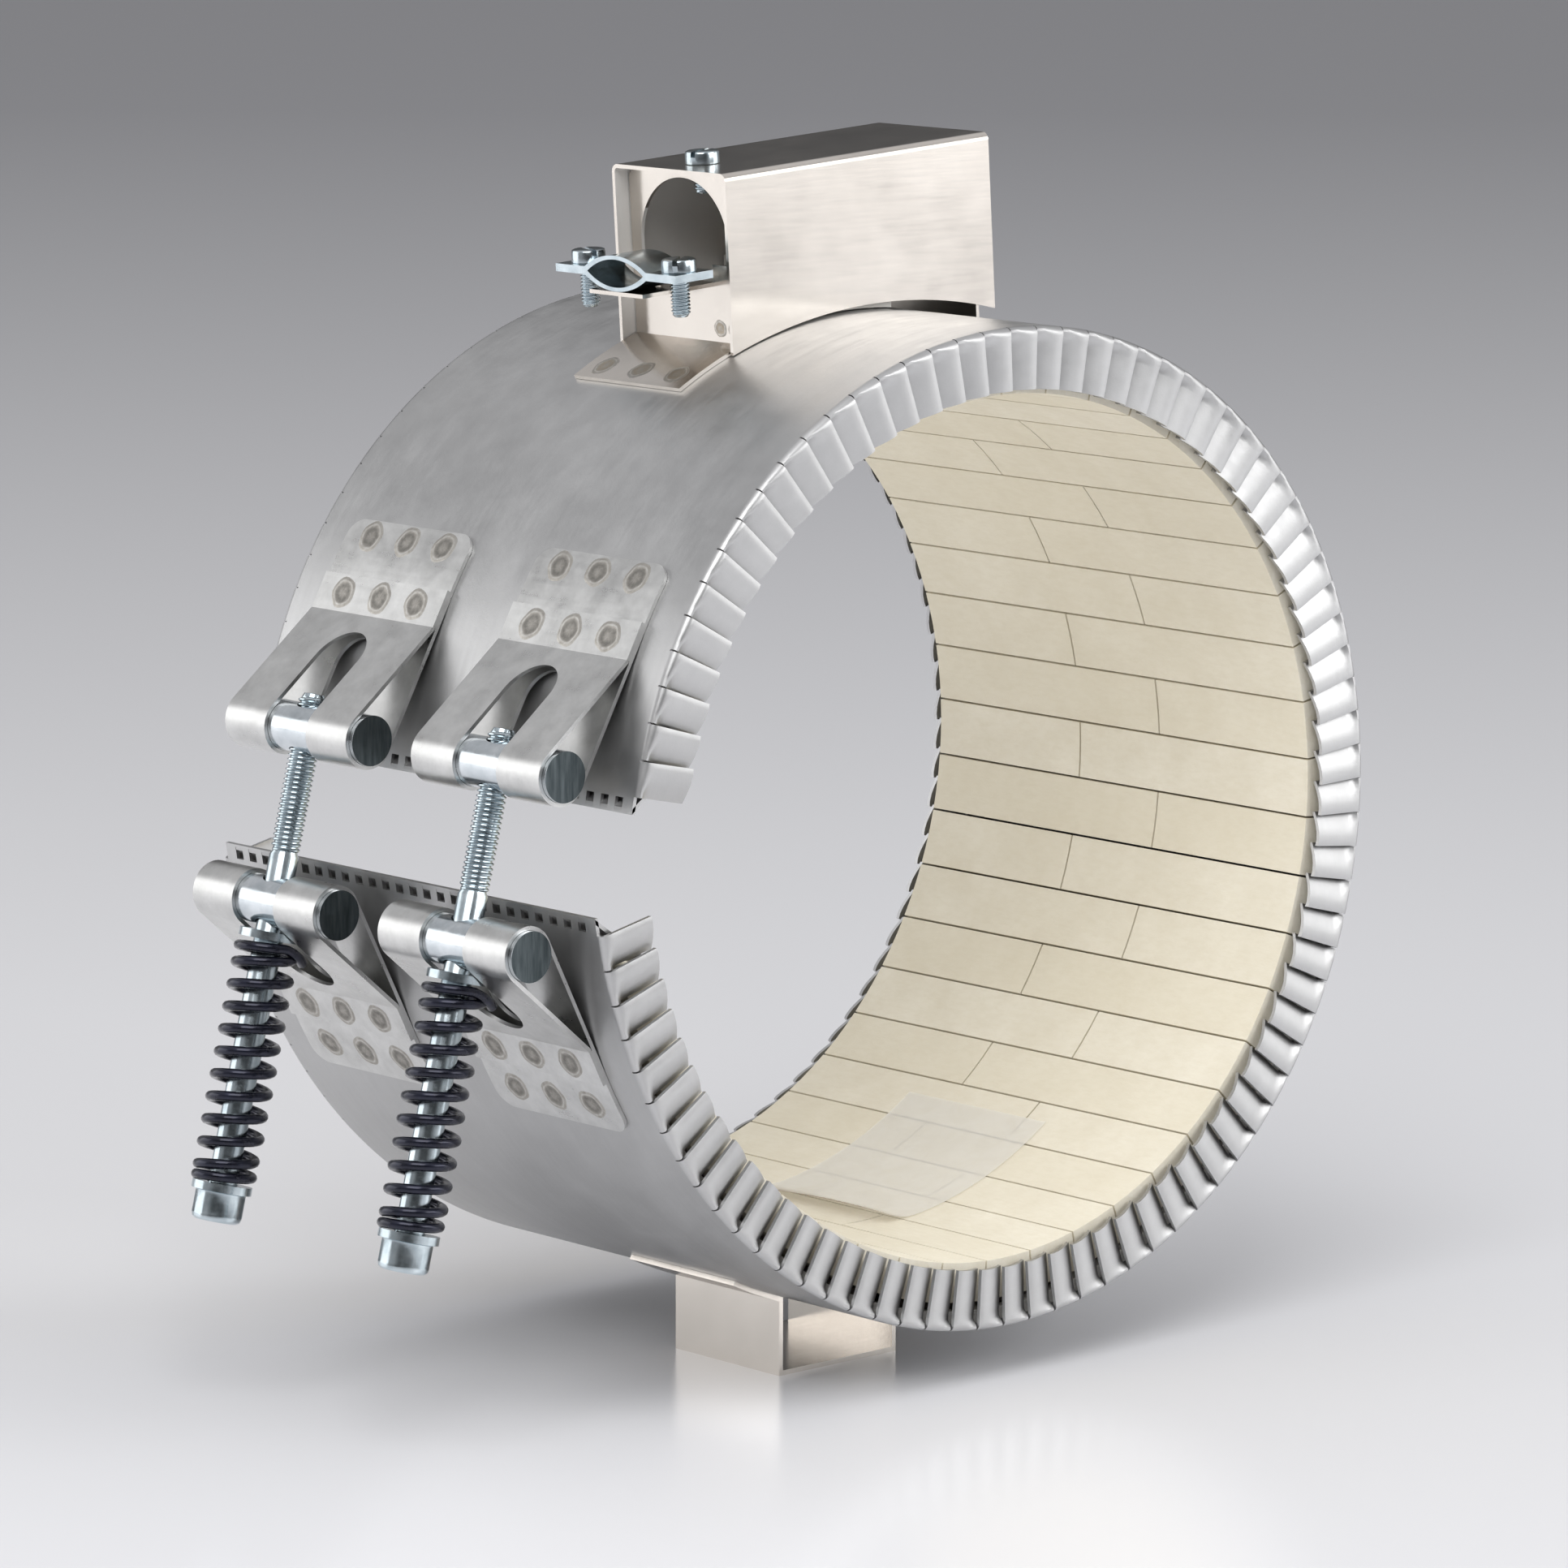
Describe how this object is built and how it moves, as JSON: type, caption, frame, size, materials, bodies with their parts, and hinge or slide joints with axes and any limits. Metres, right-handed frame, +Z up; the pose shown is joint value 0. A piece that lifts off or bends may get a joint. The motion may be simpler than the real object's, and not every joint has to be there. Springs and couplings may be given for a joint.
{
  "type": "band heater",
  "caption": "Ceramic band heater in a sheet steel shell with folded tab rims, tiled bore, spring screw clamps across the gap, terminal box with cable clamp, and foot bracket.",
  "frame": {"origin": "on the axis of the tiled bore, halfway along its length", "axes": "+Y along the bore axis towards the rear rim; +Z up, normal to the base of the foot bracket, through the top where the terminal box sits; +X to the right, away from the clamping gap"},
  "size_m": [0.2401, 0.117, 0.2469],
  "materials": {
    "band_steel": "satin",
    "strap_steel": "satin",
    "box_steel": "bright annealed",
    "zinc_steel": "bright zinc plate",
    "spring_steel": "blue-black satin",
    "ceramic_tile": "matt cream",
    "terminal_ceramic": "matt white",
    "ceramic_fibre": "matt white",
    "heating_alloy": "oxidised",
    "brass": "satin",
    "tape": "translucent gloss"
  },
  "bodies": {
    "heater": {"shell_band": "band_steel", "insulation_blanket": "ceramic_fibre", "heating_coil": "heating_alloy", "tiles_long": "ceramic_tile", "tiles_short": "ceramic_tile", "tiles_half": "ceramic_tile", "retaining_tape": "tape", "straps_upper": "strap_steel", "straps_lower": "strap_steel", "pins_upper": "zinc_steel", "pins_lower": "zinc_steel", "seat_washers": "zinc_steel", "spring_front": "spring_steel", "spring_rear": "spring_steel", "foot_bracket": "box_steel", "box_entry_wall": "box_steel", "box_far_wall": "box_steel", "cable_saddle_lower": "zinc_steel", "terminal_block": "terminal_ceramic", "terminal_screws": "brass"},
    "front_clamp_washer": {"head_washer_front": "zinc_steel"},
    "front_clamp_screw": {"clamp_screw_front": "zinc_steel"},
    "rear_clamp_washer": {"head_washer_rear": "zinc_steel"},
    "rear_clamp_screw": {"clamp_screw_rear": "zinc_steel"},
    "upper_saddle": {"cable_saddle_upper": "zinc_steel"},
    "front_saddle_screw": {"saddle_screw_front": "zinc_steel"},
    "rear_saddle_screw": {"saddle_screw_rear": "zinc_steel"},
    "terminal_cover": {"box_cover": "box_steel", "cover_screw": "zinc_steel"}
  },
  "joints": [
    {"name": "front_clamp_travel", "type": "slide", "parent": "heater", "child": "front_clamp_washer", "axis": [0.2456, 0, 0.9694], "range_m": [0, 0.018], "deforming": ["spring_front"]},
    {"name": "front_clamp_screw_turn", "type": "hinge", "parent": "front_clamp_washer", "child": "front_clamp_screw", "pos_m": [-0.13283, -0.029, -0.06801], "axis": [0.2456, 0, 0.9694], "range_deg": [0, 6480]},
    {"name": "rear_clamp_travel", "type": "slide", "parent": "heater", "child": "rear_clamp_washer", "axis": [0.2456, 0, 0.9694], "range_m": [0, 0.018], "deforming": ["spring_rear"]},
    {"name": "rear_clamp_screw_turn", "type": "hinge", "parent": "rear_clamp_washer", "child": "rear_clamp_screw", "pos_m": [-0.13283, 0.029, -0.06801], "axis": [0.2456, 0, 0.9694], "range_deg": [0, 6480]},
    {"name": "saddle_lift", "type": "slide", "parent": "heater", "child": "upper_saddle", "axis": [-0.0663, 0, 0.9978], "range_m": [0, 0.0049]},
    {"name": "front_saddle_screw_turn", "type": "hinge", "parent": "upper_saddle", "child": "front_saddle_screw", "pos_m": [-0.04795, -0.0114, 0.11162], "axis": [-0.0663, 0, 0.9978], "range_deg": [0, 2520]},
    {"name": "rear_saddle_screw_turn", "type": "hinge", "parent": "upper_saddle", "child": "rear_saddle_screw", "pos_m": [-0.04795, 0.0158, 0.11162], "axis": [-0.0663, 0, 0.9978], "range_deg": [0, 2520]},
    {"name": "cover_lift", "type": "slide", "parent": "heater", "child": "terminal_cover", "axis": [-0.0663, 0, 0.9978], "range_m": [0, 0.04]}
  ],
  "couplings": [
    {"joint": "front_clamp_screw_turn", "follows": "front_clamp_travel", "rad_per_m": 6283.2},
    {"joint": "rear_clamp_screw_turn", "follows": "rear_clamp_travel", "rad_per_m": 6283.2},
    {"joint": "front_saddle_screw_turn", "follows": "saddle_lift", "rad_per_m": 8976},
    {"joint": "rear_saddle_screw_turn", "follows": "saddle_lift", "rad_per_m": 8976}
  ]
}
